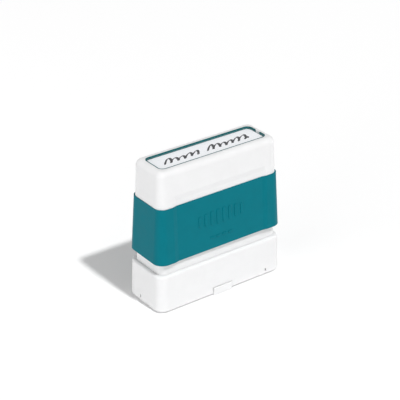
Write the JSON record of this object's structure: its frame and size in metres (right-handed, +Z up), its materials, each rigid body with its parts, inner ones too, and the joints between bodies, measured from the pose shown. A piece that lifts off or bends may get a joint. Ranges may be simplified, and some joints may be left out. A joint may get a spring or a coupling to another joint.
{
  "type": "pre-inked hand stamp",
  "caption": "Tall slim pre-inked hand stamp: clip-on cap, sprung sliding skirt, teal grip collar, white handle and a name label under a clear window.",
  "frame": {"origin": "on the table, under the middle of the cap", "axes": "+Z up along the press direction, +X along the long side, front (panel with raised bars) towards -Y"},
  "size_m": [0.061, 0.0234, 0.0601],
  "materials": {
    "cap_plastic": "satin moulded white ABS",
    "skirt_plastic": "fine satin moulded white ABS",
    "spring_steel": "drawn spring wire",
    "collar_plastic": "satin moulded teal ABS",
    "carrier_plastic": "plain moulded white acetal",
    "ink_felt": "soft reservoir felt soaked in dark ink",
    "die_foam": "microporous foam, flat face",
    "frame_plastic": "plain moulded grey acetal",
    "handle_plastic": "fine satin moulded white ABS",
    "seat_plastic": "satin moulded teal ABS",
    "label_paper": "smooth white card with a hand-drawn black flourish",
    "clear_plastic": "clear polished acrylic"
  },
  "bodies": {
    "cap": {"cap": "cap_plastic"},
    "skirt": {"skirt": "skirt_plastic", "spring_left": "spring_steel", "spring_right": "spring_steel"},
    "grip": {"collar": "collar_plastic", "die_carrier": "carrier_plastic", "ink_pad": "ink_felt", "stamp_die": "die_foam", "die_frame": "frame_plastic"},
    "handle": {"handle_shell": "handle_plastic", "label_seat": "seat_plastic", "name_label": "label_paper"},
    "window": {"label_window": "clear_plastic"}
  },
  "joints": [
    {"name": "cap_pull", "type": "slide", "parent": "cap", "child": "skirt", "axis": [0, 0, 1], "range_m": [0, 0.02]},
    {"name": "press", "type": "slide", "parent": "skirt", "child": "grip", "axis": [0, 0, -1], "range_m": [0, 0.0041], "stiffness_N_per_m": 1000, "springref_m": -0.006, "deforming": ["spring_left", "spring_right"]},
    {"name": "handle_lift", "type": "slide", "parent": "grip", "child": "handle", "axis": [0, 0, 1], "range_m": [0, 0.012]},
    {"name": "window_lift", "type": "slide", "parent": "handle", "child": "window", "axis": [0, 0, 1], "range_m": [0, 0.01]}
  ]
}
